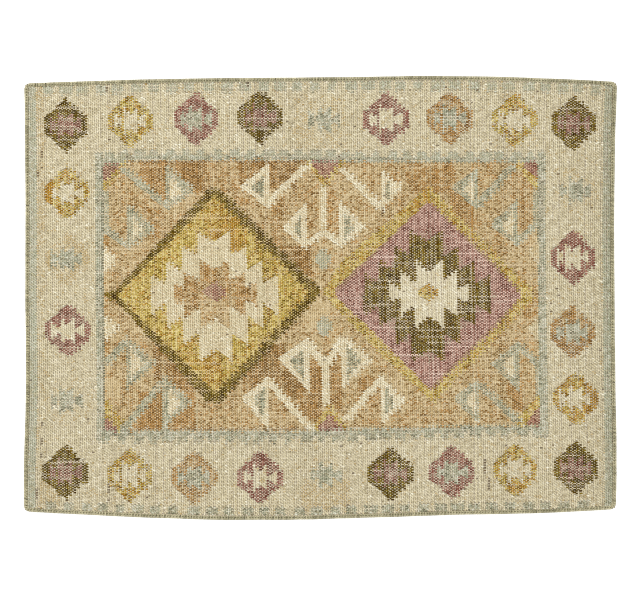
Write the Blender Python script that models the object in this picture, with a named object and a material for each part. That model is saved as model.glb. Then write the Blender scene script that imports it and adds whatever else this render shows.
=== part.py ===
"""A flat-woven jute kilim rug, lying flat, with its edge bound all round.

Metres, +Z up. X runs along the rug's length and Y across its width. The origin is under the
middle of the rug, on the surface that it lies on.
"""

import math
from collections import namedtuple

import bmesh
import bpy
import numpy as np

# Driving dimensions of the rug, laid out square before it is pulled out of true
LENGTH = 1.620
WIDTH = 1.200
CLOTH_THICKNESS = 0.0055
BINDING_WIDTH = 0.0125
BINDING_THICKNESS = 0.0070
GAP = 0.0003

# The binding is a folded strip: two arms that grip the cloth, joined by a round outer bead
ARM_THICKNESS = 0.0014
GROOVE_DEPTH = 0.0093
BEAD_RADIUS = 0.0028
BEAD_STEPS = 3
LIP_DROP = 0.0006
INNER_CORNER_RADIUS = 0.0040
CORNER_STEPS = 6

# The cloth's edge is pressed into a thin tongue, which sits between the two arms
TONGUE_LENGTH = 0.0085
SHOULDER_GAP = 0.0005
SHOULDER_SLOPE = 0.0016

# Soft unevenness of the cloth's upper face
SWELL_HEIGHT = 0.00035
SWELLS_ALONG = 3.5
SWELLS_ACROSS = 2.5
SWELL_SLANT = 0.35
SHARP_ANGLE = 35

CELLS_ALONG = 32
CELLS_ACROSS = 24

# Where the pulled edges lie, at stations from one end of the edge to the other
LongEdges = namedtuple("LongEdges", "share upper_y lower_y")
LONG_EDGES = (
    LongEdges(-1.00, 0.5880, -0.5850),
    LongEdges(-0.75, 0.5955, -0.5955),
    LongEdges(-0.50, 0.6005, -0.6040),
    LongEdges(-0.20, 0.6035, -0.6080),
    LongEdges(0.10, 0.6055, -0.6035),
    LongEdges(0.45, 0.6080, -0.5945),
    LongEdges(0.75, 0.6020, -0.5890),
    LongEdges(1.00, 0.5925, -0.5790),
)
ShortEdges = namedtuple("ShortEdges", "share left_x right_x")
SHORT_EDGES = (
    ShortEdges(-1.00, -0.8125, 0.8095),
    ShortEdges(-0.85, -0.8130, 0.8110),
    ShortEdges(-0.50, -0.8080, 0.8090),
    ShortEdges(0.00, -0.8090, 0.8060),
    ShortEdges(0.60, -0.8090, 0.8065),
    ShortEdges(0.85, -0.8105, 0.8095),
    ShortEdges(1.00, -0.8120, 0.8130),
)

JUTE_COLOUR = (0.60, 0.50, 0.33, 1.0)
BINDING_COLOUR = (0.42, 0.42, 0.32, 1.0)
YARN_ROUGHNESS = 0.9


def edge_at(stations, column, share):
    """One column of an edge's stations, read at a share of the edge from a smooth curve through them."""
    shares = [station.share for station in stations]
    values = [getattr(station, column) for station in stations]
    slopes = np.gradient(values, shares)
    here = min(max(int(np.searchsorted(shares, share)) - 1, 0), len(stations) - 2)
    reach = shares[here + 1] - shares[here]
    part = (share - shares[here]) / reach
    from_first = values[here] + slopes[here] * reach * part
    from_second = values[here + 1] - slopes[here + 1] * reach * (1 - part)
    eased = part * part * (3 - 2 * part)
    return from_first + (from_second - from_first) * eased


def lying_place(along, across):
    """Where a point of the squared-up rug lies on the floor, after the pull of its uneven edges."""
    end_share = 2 * along / LENGTH
    side_share = 2 * across / WIDTH
    upper = edge_at(LONG_EDGES, "upper_y", end_share)
    lower = edge_at(LONG_EDGES, "lower_y", end_share)
    left = edge_at(SHORT_EDGES, "left_x", side_share)
    right = edge_at(SHORT_EDGES, "right_x", side_share)
    x = left + (right - left) * (end_share + 1) / 2
    y = lower + (upper - lower) * (side_share + 1) / 2
    return x, y


def stations_between(low, high, cells):
    return [low + (high - low) * step / cells for step in range(cells + 1)]


def yarn_material(name, colour):
    material = bpy.data.materials.new(name)
    material.use_nodes = True
    shader = material.node_tree.nodes["Principled BSDF"]
    shader.inputs["Base Color"].default_value = colour
    shader.inputs["Roughness"].default_value = YARN_ROUGHNESS
    shader.inputs["Metallic"].default_value = 0.0
    return material


def rounded_corner(along, across, inset_of_centre):
    """Turns the square rings of a corner into round ones, about a point that far inside both edges."""
    past_along = abs(along) - (LENGTH / 2 - inset_of_centre)
    past_across = abs(across) - (WIDTH / 2 - inset_of_centre)
    if past_along <= 0 or past_across <= 0:
        return along, across
    shrink = max(past_along, past_across) / math.hypot(past_along, past_across)
    along = math.copysign(LENGTH / 2 - inset_of_centre + past_along * shrink, along)
    across = math.copysign(WIDTH / 2 - inset_of_centre + past_across * shrink, across)
    return along, across


def cloth_heights(along, across):
    """The under and upper height of the cloth at a point of the squared-up rug."""
    inset = min(LENGTH / 2 - abs(along), WIDTH / 2 - abs(across))
    if inset < BINDING_WIDTH + SHOULDER_GAP + SHOULDER_SLOPE / 2:
        return ARM_THICKNESS + GAP, BINDING_THICKNESS - LIP_DROP - ARM_THICKNESS - GAP
    first_turn = 2 * math.pi * (SWELLS_ALONG * along / LENGTH + SWELL_SLANT * across / WIDTH)
    second_turn = 2 * math.pi * (SWELLS_ACROSS * across / WIDTH - SWELL_SLANT * along / LENGTH)
    swell = SWELL_HEIGHT * (math.sin(first_turn) + math.cos(second_turn))
    return 0.0, CLOTH_THICKNESS + swell


def cloth_stations(size, cells):
    """Grid lines across the cloth: the tongue's edge, the shoulder, then even cells."""
    tongue_edge = size / 2 - (BINDING_WIDTH - TONGUE_LENGTH)
    shoulder_foot = size / 2 - (BINDING_WIDTH + SHOULDER_GAP)
    shoulder_top = shoulder_foot - SHOULDER_SLOPE
    inner = stations_between(-shoulder_top, shoulder_top, cells)
    return [-tongue_edge, -shoulder_foot, *inner, shoulder_foot, tongue_edge]


def make_cloth():
    """One flat sheet: a grid pulled to the uneven outline, its rim pressed into a tongue."""
    lines_along = cloth_stations(LENGTH, CELLS_ALONG)
    lines_across = cloth_stations(WIDTH, CELLS_ACROSS)
    segments_along, segments_across = len(lines_along) - 1, len(lines_across) - 1
    cloth = bmesh.new()
    bmesh.ops.create_grid(cloth, x_segments=segments_along, y_segments=segments_across, size=1)
    under = set(cloth.verts)
    bmesh.ops.extrude_face_region(cloth, geom=cloth.faces[:])
    for vertex in cloth.verts:
        along = lines_along[round((vertex.co.x + 1) / 2 * segments_along)]
        across = lines_across[round((vertex.co.y + 1) / 2 * segments_across)]
        low, high = cloth_heights(along, across)
        along, across = rounded_corner(along, across, BINDING_WIDTH + INNER_CORNER_RADIUS)
        x, y = lying_place(along, across)
        vertex.co = (x, y, low if vertex in under else high)
    bmesh.ops.recalc_face_normals(cloth, faces=cloth.faces[:])
    mesh = bpy.data.meshes.new("woven_panel")
    cloth.to_mesh(mesh)
    cloth.free()
    mesh.shade_smooth()
    mesh.set_sharp_from_angle(angle=math.radians(SHARP_ANGLE))
    mesh.materials.append(yarn_material("woven_jute", JUTE_COLOUR))
    return bpy.data.objects.new("woven_panel", mesh)


def binding_section():
    """The folded strip's section: distance from its inner edge, counted down outwards, and height."""
    bead_centre = -(BINDING_WIDTH - BEAD_RADIUS)
    lip_top = BINDING_THICKNESS - LIP_DROP
    points = [(0.0, 0.0)]
    for centre_height, first_turn in ((BEAD_RADIUS, -90), (BINDING_THICKNESS - BEAD_RADIUS, 0)):
        for step in range(BEAD_STEPS + 1):
            turn = math.radians(first_turn + 90 * step / BEAD_STEPS)
            x = bead_centre - BEAD_RADIUS * math.cos(turn)
            points.append((x, centre_height + BEAD_RADIUS * math.sin(turn)))
    points += [
        (-LIP_DROP, lip_top),
        (0.0, lip_top - LIP_DROP),
        (0.0, lip_top - ARM_THICKNESS),
        (-GROOVE_DEPTH, lip_top - ARM_THICKNESS),
        (-GROOVE_DEPTH, ARM_THICKNESS),
        (0.0, ARM_THICKNESS),
    ]
    return points


def binding_route():
    """The binding's inner edge, anticlockwise: four sides, and a tight round corner after each."""
    half_length = LENGTH / 2 - BINDING_WIDTH - INNER_CORNER_RADIUS
    half_width = WIDTH / 2 - BINDING_WIDTH - INNER_CORNER_RADIUS
    along = stations_between(-half_length, half_length, CELLS_ALONG)
    across = stations_between(-half_width, half_width, CELLS_ACROSS)
    sides = (
        [(a, -half_width - INNER_CORNER_RADIUS) for a in along],
        [(half_length + INNER_CORNER_RADIUS, a) for a in across],
        [(a, half_width + INNER_CORNER_RADIUS) for a in reversed(along)],
        [(-half_length - INNER_CORNER_RADIUS, a) for a in reversed(across)],
    )
    centres = (
        (half_length, -half_width),
        (half_length, half_width),
        (-half_length, half_width),
        (-half_length, -half_width),
    )
    route = []
    for quarter, (side, centre) in enumerate(zip(sides, centres)):
        route += side
        for step in range(1, CORNER_STEPS):
            turn = math.radians(90 * (quarter - 1 + step / CORNER_STEPS))
            route.append(
                (
                    centre[0] + INNER_CORNER_RADIUS * math.cos(turn),
                    centre[1] + INNER_CORNER_RADIUS * math.sin(turn),
                )
            )
    return [lying_place(*point) for point in route]


def flat_curve(name, points):
    curve = bpy.data.curves.new(name, "CURVE")
    curve.dimensions = "2D"
    spline = curve.splines.new("POLY")
    spline.points.add(len(points) - 1)
    for point, (x, y) in zip(spline.points, points):
        point.co = (x, y, 0, 1)
    spline.use_cyclic_u = True
    curve.fill_mode = "NONE"
    return curve


def make_binding(helpers):
    """One folded strip swept along the cloth's edge, with no end."""
    section = bpy.data.objects.new("binding_section", flat_curve("binding_section", binding_section()))
    section.hide_render = True
    section.display_type = "WIRE"
    helpers.objects.link(section)
    curve = flat_curve("binding", binding_route())
    curve.bevel_mode = "OBJECT"
    curve.bevel_object = section
    curve.materials.append(yarn_material("binding_yarn", BINDING_COLOUR))
    return bpy.data.objects.new("binding", curve)


for leftover in list(bpy.data.objects):
    bpy.data.objects.remove(leftover)

rug = bpy.data.collections.new("jute_kilim_rug")
guides = bpy.data.collections.new("guides")
bpy.context.scene.collection.children.link(rug)
bpy.context.scene.collection.children.link(guides)
rug.objects.link(make_cloth())
rug.objects.link(make_binding(guides))
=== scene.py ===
"""A flat-woven jute kilim rug lying flat on a pale studio floor, seen from straight above."""

import math
from collections import namedtuple

import bmesh
import bpy
import numpy as np
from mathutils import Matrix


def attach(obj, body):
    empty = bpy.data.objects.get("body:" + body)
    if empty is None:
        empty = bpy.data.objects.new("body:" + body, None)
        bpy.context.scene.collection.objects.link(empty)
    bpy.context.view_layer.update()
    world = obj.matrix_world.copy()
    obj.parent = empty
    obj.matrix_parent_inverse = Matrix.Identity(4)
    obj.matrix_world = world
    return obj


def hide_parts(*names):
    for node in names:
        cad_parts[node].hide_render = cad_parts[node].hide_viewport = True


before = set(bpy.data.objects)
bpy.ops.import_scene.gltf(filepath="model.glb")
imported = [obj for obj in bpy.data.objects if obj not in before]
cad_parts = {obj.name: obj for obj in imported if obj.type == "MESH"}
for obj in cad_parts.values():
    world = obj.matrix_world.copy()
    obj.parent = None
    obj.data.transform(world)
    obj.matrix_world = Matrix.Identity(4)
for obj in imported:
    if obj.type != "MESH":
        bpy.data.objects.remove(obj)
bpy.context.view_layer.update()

# The camera, the floor and the light
# The rug was photographed from straight above with a long lens, in soft even light, on white.
# A pixel of the photograph is 2.741 mm of the rug, and the camera stood nearly over its middle.
PHOTO_WIDTH = 642
PHOTO_HEIGHT = 597
PIXEL_SIZE = 0.002741
CAMERA_X = 0.0014
CAMERA_Y = -0.0014
CAMERA_HEIGHT = 4.0
FLOOR_SIZE = 12.0
FLOOR_DROP = 0.0002
FLOOR_GLOW = 0.25
WORLD_STRENGTH = 0.90


def linear(hex_colour):
    """A colour given as sRGB hex, as the linear colour that Blender's sockets take."""
    channels = [int(hex_colour[place : place + 2], 16) / 255 for place in (1, 3, 5)]
    return [c / 12.92 if c <= 0.04045 else ((c + 0.055) / 1.055) ** 2.4 for c in channels] + [1.0]


def new_material(name):
    material = bpy.data.materials.new(name)
    material.use_nodes = True
    return material


def add_node(material, kind, links=(), **settings):
    """Adds a node. A setting is a property or a socket, and a link is (socket, its source or its value)."""
    node = material.node_tree.nodes.new("ShaderNode" + kind)
    for name, value in settings.items():
        if hasattr(node, name):
            setattr(node, name, value)
        else:
            node.inputs[name.replace("_", " ")].default_value = value
    for socket, source in links:
        if isinstance(source, bpy.types.NodeSocket):
            material.node_tree.links.new(source, node.inputs[socket])
        else:
            node.inputs[socket].default_value = source
    return node


def soft_light(name, place, size, power):
    lamp = bpy.data.lights.new(name, "AREA")
    lamp.shape = "DISK"
    lamp.size = size
    lamp.energy = power
    light = bpy.data.objects.new(name, lamp)
    light.location = place
    aim = -light.location
    light.rotation_mode = "QUATERNION"
    light.rotation_quaternion = aim.to_track_quat("-Z", "Y")
    bpy.context.scene.collection.objects.link(light)


camera = bpy.data.objects.new("camera", bpy.data.cameras.new("camera"))
camera.data.angle = 2 * math.atan(PHOTO_WIDTH * PIXEL_SIZE / 2 / CAMERA_HEIGHT)
camera.location = (CAMERA_X, CAMERA_Y, CAMERA_HEIGHT)
bpy.context.scene.collection.objects.link(camera)
bpy.context.scene.camera = camera

floor_mesh = bmesh.new()
bmesh.ops.create_grid(floor_mesh, x_segments=1, y_segments=1, size=FLOOR_SIZE / 2)
bmesh.ops.translate(floor_mesh, verts=floor_mesh.verts[:], vec=(0, 0, -FLOOR_DROP))
floor = bpy.data.objects.new("studio_floor", bpy.data.meshes.new("studio_floor"))
floor_mesh.to_mesh(floor.data)
floor_mesh.free()
# Matt white studio board: nearly all the light comes back, with no gloss
floor_board = new_material("matt_white_board")
floor_shader = floor_board.node_tree.nodes["Principled BSDF"]
floor_shader.inputs["Base Color"].default_value = linear("#FFFFFF")
floor_shader.inputs["Roughness"].default_value = 1.0
floor_shader.inputs["Specular IOR Level"].default_value = 0.0
# It is lit through from behind, as a product table is, so that it stays white right up to the rug
floor_shader.inputs["Emission Color"].default_value = linear("#FFFFFF")
floor_shader.inputs["Emission Strength"].default_value = FLOOR_GLOW
floor.data.materials.append(floor_board)
bpy.context.scene.collection.objects.link(floor)

world = bpy.data.worlds.new("studio")
bpy.context.scene.world = world
world.use_nodes = True
world.node_tree.nodes["Background"].inputs["Color"].default_value = linear("#FFFFFF")
world.node_tree.nodes["Background"].inputs["Strength"].default_value = WORLD_STRENGTH
soft_light("key_light", (-2.6, 2.2, 3.0), 2.4, 62)
soft_light("fill_light", (2.4, -2.6, 3.4), 3.4, 25)
bpy.context.scene.view_settings.view_transform = "Standard"
# The photograph is sharp down to single threads, so the picture is hardly softened, and Blender's cleaning
# of noise is kept from taking the weave for noise
bpy.context.scene.cycles.filter_width = 1.0
bpy.context.scene.cycles.denoising_prefilter = "NONE"

# The cotton warps
# About 320 pale cotton threads run along the rug's length, a thread each 3.7 mm. They were stretched on
# the loom, so they stay nearly straight, and they are made here as one thin ridged sheet of cloth.
LENGTH = 1.620
WIDTH = 1.200
WARPS = 323
WARP_PITCH = 0.003684
WARP_RADIUS = 0.0007
WARP_LEVEL = 0.00275
WEB_THICKNESS = 0.0001
WARP_COLUMNS = 12
WARP_END = 0.0030
WARP_WANDER = 0.00032
PICK_LEAN = -0.013
warp_luck = np.random.default_rng(12)
warp_shift = warp_luck.normal(0, WARP_WANDER, WARPS)

# Where the pulled edges of the rug lie, at stations from one end of the edge to the other
LongEdges = namedtuple("LongEdges", "share upper_y lower_y")
LONG_EDGES = (
    LongEdges(-1.00, 0.5880, -0.5850),
    LongEdges(-0.75, 0.5955, -0.5955),
    LongEdges(-0.50, 0.6005, -0.6040),
    LongEdges(-0.20, 0.6035, -0.6080),
    LongEdges(0.10, 0.6055, -0.6035),
    LongEdges(0.45, 0.6080, -0.5945),
    LongEdges(0.75, 0.6020, -0.5890),
    LongEdges(1.00, 0.5925, -0.5790),
)
ShortEdges = namedtuple("ShortEdges", "share left_x right_x")
SHORT_EDGES = (
    ShortEdges(-1.00, -0.8125, 0.8095),
    ShortEdges(-0.85, -0.8130, 0.8110),
    ShortEdges(-0.50, -0.8080, 0.8090),
    ShortEdges(0.00, -0.8090, 0.8060),
    ShortEdges(0.60, -0.8090, 0.8065),
    ShortEdges(0.85, -0.8105, 0.8095),
    ShortEdges(1.00, -0.8120, 0.8130),
)


def edge_at(stations, column, share):
    """Where an edge lies at shares of its length, on a smooth curve through its stations."""
    shares = np.array([station.share for station in stations])
    values = np.array([getattr(station, column) for station in stations])
    slopes = np.gradient(values, shares)
    here = np.clip(np.searchsorted(shares, share) - 1, 0, len(shares) - 2)
    reach = shares[here + 1] - shares[here]
    part = (share - shares[here]) / reach
    from_first = values[here] + slopes[here] * reach * part
    from_second = values[here + 1] - slopes[here + 1] * reach * (1 - part)
    eased = part * part * (3 - 2 * part)
    return from_first + (from_second - from_first) * eased


def lying_place(along, across):
    """Where points of the squared-up rug lie on the floor, after the pull of its uneven edges."""
    end_share = np.clip(2 * np.asarray(along) / LENGTH, -1, 1)
    side_share = np.clip(2 * np.asarray(across) / WIDTH, -1, 1)
    upper = edge_at(LONG_EDGES, "upper_y", end_share)
    lower = edge_at(LONG_EDGES, "lower_y", end_share)
    left = edge_at(SHORT_EDGES, "left_x", side_share)
    right = edge_at(SHORT_EDGES, "right_x", side_share)
    x = left + (right - left) * (end_share + 1) / 2
    y = lower + (upper - lower) * (side_share + 1) / 2
    return x, y


def thread_place(along, across):
    """Where points of the weave lie: warps run straighter than the pulled edges, and the picks lean."""
    end_share = np.clip(2 * np.asarray(along) / LENGTH, -1, 1)
    side_share = np.clip(2 * np.asarray(across) / WIDTH, -1, 1)
    x, y = lying_place(along, across)
    return x + PICK_LEAN * across * (1 - end_share**2), across + (y - across) * side_share**4


row_shift = np.zeros(2 * WARPS + 1)
row_shift[1::2] = warp_shift
warps = bmesh.new()
bmesh.ops.create_grid(warps, x_segments=WARP_COLUMNS, y_segments=2 * WARPS, size=1)
under_side = set(warps.verts)
bmesh.ops.extrude_face_region(warps, geom=warps.faces[:])
for vertex in warps.verts:
    row = round((vertex.co.y + 1) * WARPS)
    ridge = WARP_RADIUS if row % 2 else WEB_THICKNESS / 2
    across = (row - WARPS) * WARP_PITCH / 2 + row_shift[row]
    x, y = thread_place(vertex.co.x * (LENGTH / 2 - WARP_END), across)
    vertex.co = (x, y, WARP_LEVEL + (-ridge if vertex in under_side else ridge))
bmesh.ops.recalc_face_normals(warps, faces=warps.faces[:])
cotton_warps = bpy.data.objects.new("cotton_warps", bpy.data.meshes.new("cotton_warps"))
warps.to_mesh(cotton_warps.data)
warps.free()
cotton_warps.data.shade_smooth()
bpy.context.scene.collection.objects.link(cotton_warps)


def spread_colours(ramp, *stops):
    """Gives the two ends of a colour ramp their places and colours."""
    for end, (place_along, colour) in zip(ramp.color_ramp.elements, stops):
        end.position = place_along
        end.color = linear(colour)


def dress(material, colour, bump, roughness, shine=0.5):
    """Gives a yarn its colour and its bump, how rough it is, and how strong its shine is."""
    shader = material.node_tree.nodes["Principled BSDF"]
    shader.inputs["Roughness"].default_value = roughness
    shader.inputs["Specular IOR Level"].default_value = shine
    material.node_tree.links.new(colour.outputs["Color"], shader.inputs["Base Color"])
    material.node_tree.links.new(bump.outputs["Normal"], shader.inputs["Normal"])


# Undyed cotton, plied and tightly stretched: a cool pale grey beside the warm jute, quite matt.
# Its ply turns every 2.5 mm, too fine to show, so it is drawn as bands 9 mm apart that lean along the thread.
undyed_cotton = new_material("undyed_cotton")
place = add_node(undyed_cotton, "TexCoord").outputs["Object"]
ply = add_node(
    undyed_cotton, "TexWave", [("Vector", place)], bands_direction="DIAGONAL", Scale=70.0, Distortion=1.5
)
wear = add_node(undyed_cotton, "TexNoise", [("Vector", place)], Scale=55.0, Detail=3.0)
shade = add_node(
    undyed_cotton, "Math", [(0, ply.outputs["Fac"]), (1, wear.outputs["Fac"])], operation="MULTIPLY"
)
cotton_colour = add_node(undyed_cotton, "ValToRGB", [("Fac", shade.outputs[0])])
spread_colours(cotton_colour, (0.0, "#BEB298"), (0.55, "#E6DAC0"))
twist = add_node(undyed_cotton, "Bump", [("Height", ply.outputs["Fac"])], Strength=0.5, Distance=0.0002)
# The thin web between two warps stands for the gaps there: its low parts are painted dark brown as painted
# shade, fading to the cotton up the sides of each warp
height = add_node(undyed_cotton, "SeparateXYZ", [("Vector", place)]).outputs["Z"]
painted_gap_shade = add_node(
    undyed_cotton,
    "MapRange",
    [("Value", height)],
    From_Min=WARP_LEVEL + WARP_RADIUS * 0.1,
    From_Max=WARP_LEVEL + WARP_RADIUS * 0.55,
)


def near(centre, weights, reach):
    """Whether a point's distance from a centre, weighed along x and y, is under a reach: 1 or 0."""
    away = add_node(undyed_cotton, "VectorMath", [(0, place), (1, centre)], operation="SUBTRACT")
    size = add_node(undyed_cotton, "VectorMath", [(0, away.outputs[0])], operation="ABSOLUTE")
    far = add_node(undyed_cotton, "VectorMath", [(0, size.outputs[0]), (1, weights)], operation="DOT_PRODUCT")
    under = add_node(undyed_cotton, "Math", [(0, far.outputs["Value"]), (1, reach)], operation="LESS_THAN")
    return under.outputs[0]


# A little dye has rubbed off on the warps, so that the threads between the wefts don't look blue beside
# them: tan all over the field, gold and mauve in the rims of its two diamonds, beige in the right one's star
FIELD_MIDDLE = (0.002, 0.008, 0)
LEFT_DIAMOND = (-0.290, 0.0068, 0)
RIGHT_DIAMOND = (0.295, 0.0068, 0)
DIAMOND = (1, 1, 0)
STAR_REACH = 0.19
in_length = near(FIELD_MIDDLE, (1, 0, 0), 0.5955)
in_width = near(FIELD_MIDDLE, (0, 1, 0), 0.362)
left_star = near(LEFT_DIAMOND, DIAMOND, STAR_REACH)
right_star = near(RIGHT_DIAMOND, DIAMOND, STAR_REACH)
cotton = cotton_colour.outputs["Color"]
for colour, amount, joined, first, second in (
    ("#E4C690", 0.50, "MULTIPLY", in_length, in_width),
    ("#E8CC70", 0.30, "SUBTRACT", near(LEFT_DIAMOND, DIAMOND, 0.285), left_star),
    ("#D8CCB4", 0.90, "MULTIPLY", right_star, right_star),
    ("#F2D4CC", 0.65, "SUBTRACT", near(RIGHT_DIAMOND, DIAMOND, 0.256), right_star),
):
    rubbed = add_node(undyed_cotton, "Math", [(0, first), (1, second)], operation=joined)
    part = add_node(undyed_cotton, "Math", [(0, rubbed.outputs[0]), (1, amount)], operation="MULTIPLY")
    mixed = add_node(
        undyed_cotton, "MixRGB", [("Fac", part.outputs[0]), ("Color1", cotton)], Color2=linear(colour)
    )
    cotton = mixed.outputs["Color"]
# Painted shade: the cotton turns dark brown where the sheet lies low
shaded_cotton = add_node(
    undyed_cotton, "MixRGB", [("Fac", painted_gap_shade.outputs["Result"]), ("Color2", cotton)], Color1=linear("#4A3820")
)
dress(undyed_cotton, shaded_cotton, twist, 0.85, 0.15)
cotton_warps.data.materials.append(undyed_cotton)
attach(cotton_warps, "root")
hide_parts("woven_panel")

# The weaver's chart
# A kilim's pattern is woven in: each jute pick changes dye where the chart says. The chart here gives the
# dye at every crossing of a pick and a warp, drawn from this rug's own motifs, a few shapes that repeat.
PICKS = 296
PICK_PITCH = 0.0054
GRID = (PICKS, WARPS)
IVORY, SAGE, TAN, GOLD, OLIVE, MAUVE = range(6)
LONG_TEETH = 0.35
luck = np.random.default_rng(31)

# The chart is drawn by where each crossing is along the rug and how high it lies in the photograph, so
# that blocks follow the lean of the picks. Slanted edges step at whole passes, two picks to and fro
pick = np.arange(PICKS)
warp = np.arange(WARPS)
pick_along = (pick - (PICKS - 1) / 2) * PICK_PITCH
pass_along = (pick // 2 * 2 + 0.5 - (PICKS - 1) / 2) * PICK_PITCH
warp_across = (warp - (WARPS - 1) / 2) * WARP_PITCH
chart_x = np.repeat(pick_along[:, None], WARPS, axis=1)
pass_x = np.repeat(pass_along[:, None], WARPS, axis=1)
chart_across = np.repeat(warp_across[None, :], PICKS, axis=0)
chart_y = thread_place(chart_x, chart_across)[1]
chart = np.full(GRID, IVORY)
# The share of floats of the dye's second lot, which is darker or warmer, and how much lighter a motif is
second_lot = np.full(GRID, 0.06)
lift = np.zeros(GRID)
long_tooth = luck.random(GRID) < LONG_TEETH
odd_pick = (pick % 2 == 1)[:, None]


def from_photo(px, py):
    """A pixel of the photograph as a place along the rug and a height."""
    x = (px - PHOTO_WIDTH / 2) * PIXEL_SIZE + CAMERA_X
    y = (PHOTO_HEIGHT / 2 - py) * PIXEL_SIZE + CAMERA_Y
    along, across = x, y
    for _ in range(5):
        lying_x, lying_y = thread_place(along, across)
        along, across = along + x - lying_x, across + y - lying_y
    return float(along), y


def box(left, top, right, bottom):
    """The crossings inside a box that is given by pixels of the photograph."""
    middle = (top + bottom) / 2
    first_x, last_x = from_photo(left, middle)[0], from_photo(right, middle)[0]
    last_y, first_y = from_photo(left, top)[1], from_photo(left, bottom)[1]
    return (chart_x > first_x) & (chart_x < last_x) & (chart_y > first_y) & (chart_y < last_y)


def stepped(px, py, above, below=None):
    """A stepped star or diamond. Each block gives its outer edge and its reach at both its sides."""
    middle_x, middle_y = from_photo(px, py)
    out = np.abs(chart_x - middle_x) / PIXEL_SIZE
    pass_out = np.abs(pass_x - middle_x) / PIXEL_SIZE
    up = (chart_y - middle_y) / PIXEL_SIZE
    shape = np.zeros(GRID, bool)
    for blocks, height in ((above, up), (below or above, -up)):
        inner_edge = 0.0
        for outer_edge, first_reach, last_reach in blocks:
            part = np.clip((pass_out - inner_edge) / (outer_edge - inner_edge), 0, 1)
            reach = first_reach + (last_reach - first_reach) * part
            shape |= (out >= inner_edge) & (out < outer_edge) & (height >= 0) & (height < reach)
            inner_edge = outer_edge
    return shape


def filled(corners):
    """The crossings inside a shape with no hollows, whose corners are pixels of the photograph."""
    points = [from_photo(*corner) for corner in corners]
    turns = []
    for (from_x, from_y), (to_x, to_y) in zip(points, points[1:] + points[:1]):
        across_it = chart_x if abs(to_x - from_x) < PICK_PITCH / 2 else pass_x
        turns.append((to_x - from_x) * (chart_y - from_y) - (to_y - from_y) * (across_it - from_x))
    turns = np.array(turns)
    return (turns > 0).all(axis=0) | (turns < 0).all(axis=0)


def weave(shape, dye, share=0.06, lighter=0.0):
    """Lays a dye in a shape. The second pick of each pass reaches a tooth further, where its yarn turns."""
    tooth = np.roll(shape, 1, axis=1) | np.roll(shape, -1, axis=1)
    tooth |= long_tooth & (np.roll(shape, 2, axis=1) | np.roll(shape, -2, axis=1))
    shape = shape | (tooth & odd_pick)
    chart[shape] = dye
    second_lot[shape] = share
    lift[shape] = lighter


def change_lot(left, top, right, bottom, dye, share):
    """Sets the share of a dye's second lot in a box that is given by pixels of the photograph."""
    second_lot[box(left, top, right, bottom) & (chart == dye)] = share


# The field lies between two lines that the photograph shows are not quite level
FIELD_TOP = ((103, 165), (124, 165), (128, 162), (300, 161.5), (350, 163), (420, 164), (540, 164))
FIELD_BOTTOM = ((105, 429), (220, 429.5), (330, 429), (345, 428), (440, 425.5), (480, 423.5), (541, 423.5))


def line_at(points):
    """The height at each crossing of a broken line through pixels of the photograph."""
    places = [from_photo(*point) for point in points]
    return np.interp(chart_x, [x for x, _ in places], [y for _, y in places])


above_field = (chart_y - line_at(FIELD_TOP)) / PIXEL_SIZE
below_field = (line_at(FIELD_BOTTOM) - chart_y) / PIXEL_SIZE
inset_along = LENGTH / 2 - np.abs(chart_x)
inset_across = WIDTH / 2 - np.abs(chart_across)
at_left = chart_x < 0
at_top = chart_across > 0


# Guards: solid stripes at the two ends, and stripes with square teeth along the two sides
def toothed_guard(shape, first_px, last_px, py, pitch, tooth, lighter):
    """Sage teeth in a strip that runs along the rug, between two pixel columns of the photograph."""
    left = first_px
    while left < last_px - tooth:
        width = tooth + luck.uniform(-2.5, 2.0)
        first_x, last_x = from_photo(left, py)[0], from_photo(left + width, py)[0]
        weave(shape & (chart_x > first_x) & (chart_x < last_x), SAGE, 0.30, lighter)
        left += pitch + luck.uniform(-1.5, 1.5)


LEFT_GUARD = 0.0345
RIGHT_GUARD = 0.0325
TOP_GUARD = 0.0335
BOTTOM_GUARD = 0.0325
# The border beside the left guard has more yarn of the warm lot, most of all in its upper part
WARM_BORDER = 0.056
second_lot[(inset_along < WARM_BORDER) & at_left] = 0.18
second_lot[(inset_along < WARM_BORDER) & at_left & (chart_y > -0.02)] = 0.38
weave((inset_along < LEFT_GUARD) & at_left, SAGE, 0.20, 0.15)
weave((inset_along < RIGHT_GUARD) & ~at_left, SAGE, 0.20, 0.06)
toothed_guard((inset_across < TOP_GUARD) & at_top, 43, 603, 85, 17.5, 11.5, 0.12)
toothed_guard((inset_across < BOTTOM_GUARD) & ~at_top, 46, 603, 508, 17.5, 11.5, 0.0)
within = (above_field < 11.5) & (below_field < 12.5)
weave(box(96, 120, 104.5, 470) & within, SAGE, 0.15)
weave(box(537.5, 120, 546, 470) & within, SAGE, 0.15)
upper_half = box(100, 120, 542, 295)
lower_half = box(100, 295, 542, 470)
weave(upper_half & (above_field < 5.5), SAGE, 0.20)
weave(lower_half & (below_field < 6.5), SAGE, 0.20)
upper_teeth = upper_half & (above_field < 11.5) & (above_field > 4)
toothed_guard(upper_teeth, 104, 541, 155, 15.5, 9.5, 0.08)
lower_teeth = lower_half & (below_field < 12) & (below_field > 5)
toothed_guard(lower_teeth, 102, 541, 435, 15.5, 9.5, 0.0)

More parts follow.
